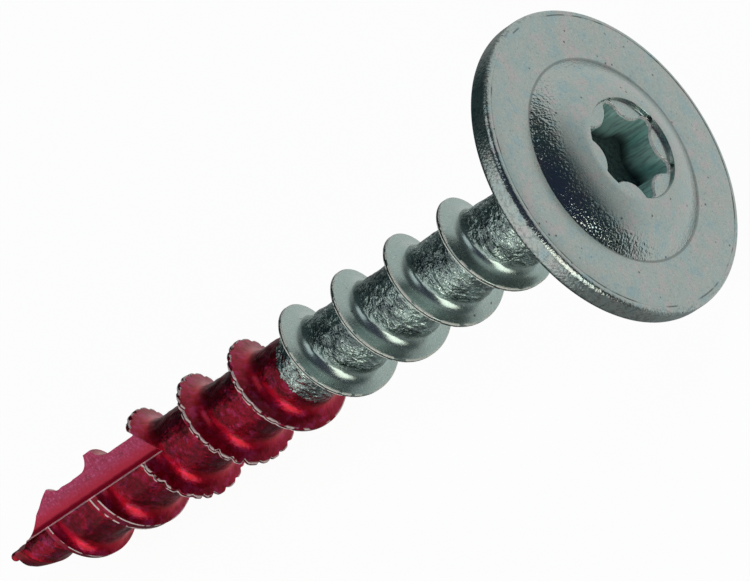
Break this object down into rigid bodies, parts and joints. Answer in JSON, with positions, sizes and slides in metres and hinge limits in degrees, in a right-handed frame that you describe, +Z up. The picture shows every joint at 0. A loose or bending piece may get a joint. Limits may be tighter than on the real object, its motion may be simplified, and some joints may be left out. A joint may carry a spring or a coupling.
{
  "type": "washer head wood screw",
  "caption": "Wood screw lying on its rim and thread, with a wide washer head, low dome, star recess, coarse thread with a serrated crest and a cutting flute at the point.",
  "frame": {"origin": "on the surface that the screw lies on, under the middle of its box", "axes": "+Z up; +X along the screw towards its head, seen from above; the screw's own axis rises towards the head by about eight degrees, because it lies on its rim and on a thread crest"},
  "size_m": [0.0636, 0.022, 0.0219],
  "materials": {
    "plated_steel": "satin zinc plating, with the pointed half dipped in clear red lacquer"
  },
  "bodies": {
    "root": {"screw": "plated_steel"}
  },
  "joints": []
}
